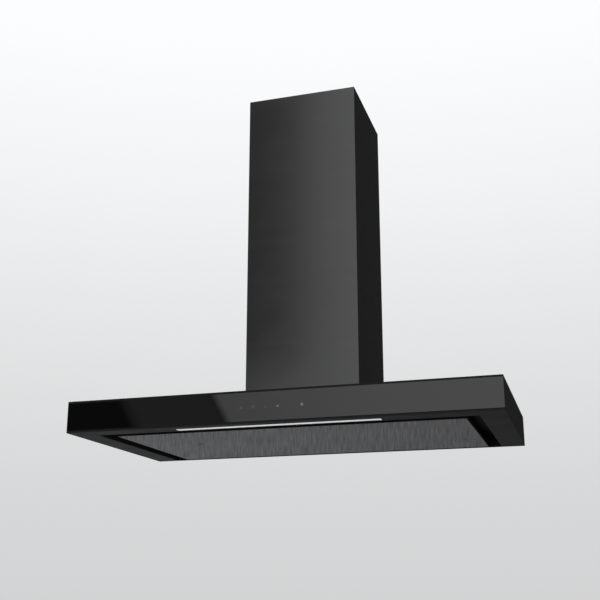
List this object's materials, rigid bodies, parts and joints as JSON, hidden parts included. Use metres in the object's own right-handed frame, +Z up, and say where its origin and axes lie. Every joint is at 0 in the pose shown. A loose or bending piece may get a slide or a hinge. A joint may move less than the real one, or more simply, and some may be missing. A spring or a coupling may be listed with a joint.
{
  "type": "chimney range hood",
  "caption": "Wall chimney range hood: flat black glass-fronted canopy with perimeter suction panel, light bar and square telescopic chimney.",
  "frame": {"origin": "middle of the canopy's footprint, at the height of its underside", "axes": "+Z is up, -Y is the glass front, +Y points at the wall, X runs along the canopy"},
  "size_m": [0.898, 0.457, 0.82],
  "materials": {
    "black_paint": "fine matt black powder coat",
    "black_glass": "toughened glass printed black behind, so opaque and glossy",
    "zinc_steel": "zinc plated steel",
    "galvanised_sheet": "galvanised steel sheet",
    "inner_plastic": "moulded black plastic",
    "board_laminate": "circuit board laminate",
    "opal_light": "opal diffuser, lit",
    "dark_liner": "black painted sheet",
    "filter_aluminium": "bare aluminium",
    "filter_mesh": "expanded aluminium mesh, pleated",
    "latch_plastic": "moulded black plastic",
    "dark_brushed_panel": "dark brushed steel under a clear coat",
    "magnet_black": "moulded holder with a magnet",
    "scroll_plastic": "grey moulded plastic",
    "impeller_plastic": "dark moulded plastic",
    "motor_can": "motor can; aluminium's density is near that of a wound motor with its air space",
    "bearing_bronze": "sintered bronze",
    "shaft_steel": "ground steel",
    "grommet_rubber": "rubber",
    "capacitor_can": "moulded plastic can",
    "flap_plastic": "light moulded plastic"
  },
  "bodies": {
    "hood": {"canopy_shell": "black_paint", "front_rail": "black_paint", "front_glass": "black_glass", "rail_nuts": "zinc_steel", "light_housing": "inner_plastic", "light_board": "board_laminate", "light_diffuser": "opal_light", "light_driver": "inner_plastic", "touch_board": "board_laminate", "touch_cover": "inner_plastic", "liner": "dark_liner", "filter_frame_left": "filter_aluminium", "filter_mesh_left": "filter_mesh", "filter_frame_right": "filter_aluminium", "filter_mesh_right": "filter_mesh", "hinge_bracket_left": "zinc_steel", "hinge_bracket_right": "zinc_steel", "hinge_pins": "zinc_steel", "catch_magnet_left": "magnet_black", "catch_magnet_right": "magnet_black", "lower_chimney": "black_paint", "motor_box": "galvanised_sheet", "box_screws": "zinc_steel", "mounting_plate": "galvanised_sheet", "scroll_left": "scroll_plastic", "scroll_right": "scroll_plastic", "scroll_screws": "zinc_steel", "motor": "motor_can", "motor_bearings": "bearing_bronze", "motor_bracket": "zinc_steel", "motor_grommets": "grommet_rubber", "motor_screws": "zinc_steel", "capacitor": "capacitor_can", "capacitor_nut": "inner_plastic", "terminal_box": "inner_plastic", "terminal_lid": "inner_plastic", "cable_gland": "inner_plastic", "outlet_collar": "scroll_plastic", "collar_screws": "zinc_steel", "flap_rod": "shaft_steel"},
    "panel": {"suction_panel": "dark_brushed_panel", "panel_stiffener": "zinc_steel", "hinge_leaf_left": "zinc_steel", "hinge_leaf_right": "zinc_steel", "panel_strikers": "zinc_steel"},
    "left_latch": {"filter_latch_left": "latch_plastic"},
    "right_latch": {"filter_latch_right": "latch_plastic"},
    "upper_cover": {"upper_chimney": "black_paint", "chimney_bracket": "zinc_steel", "bracket_screws": "zinc_steel"},
    "front_flap": {"flap_front": "flap_plastic"},
    "rear_flap": {"flap_rear": "flap_plastic"},
    "fan": {"impeller": "impeller_plastic", "impeller_rings": "impeller_plastic", "impeller_blades": "impeller_plastic", "motor_shaft": "shaft_steel"},
    "left_hook": {"wall_hook_left": "zinc_steel", "levelling_screw_left": "zinc_steel"},
    "right_hook": {"wall_hook_right": "zinc_steel", "levelling_screw_right": "zinc_steel"}
  },
  "joints": [
    {"name": "panel_swing", "type": "hinge", "parent": "hood", "child": "panel", "pos_m": [0, 0.2095, 0.008], "axis": [1, 0, 0], "range_deg": [0, 90]},
    {"name": "upper_cover_slide", "type": "slide", "parent": "hood", "child": "upper_cover", "axis": [0, 0, 1], "range_m": [0, 0.4]},
    {"name": "left_latch_slide", "type": "slide", "parent": "hood", "child": "left_latch", "axis": [0, 1, 0], "range_m": [0, 0.006], "stiffness_N_per_m": 300, "springref_m": -0.01},
    {"name": "right_latch_slide", "type": "slide", "parent": "hood", "child": "right_latch", "axis": [0, 1, 0], "range_m": [0, 0.006], "stiffness_N_per_m": 300, "springref_m": -0.01},
    {"name": "front_flap_swing", "type": "hinge", "parent": "hood", "child": "front_flap", "pos_m": [0, 0.1375, 0.365], "axis": [-1, 0, 0], "range_deg": [0, 80]},
    {"name": "rear_flap_swing", "type": "hinge", "parent": "hood", "child": "rear_flap", "pos_m": [0, 0.1375, 0.365], "axis": [1, 0, 0], "range_deg": [0, 80]},
    {"name": "fan_spin", "type": "hinge", "parent": "hood", "child": "fan", "pos_m": [0, 0.0935, 0.185], "axis": [1, 0, 0], "continuous": true},
    {"name": "left_hook_level", "type": "slide", "parent": "hood", "child": "left_hook", "axis": [0, 0, -1], "range_m": [0, 0.01]},
    {"name": "right_hook_level", "type": "slide", "parent": "hood", "child": "right_hook", "axis": [0, 0, -1], "range_m": [0, 0.01]}
  ]
}
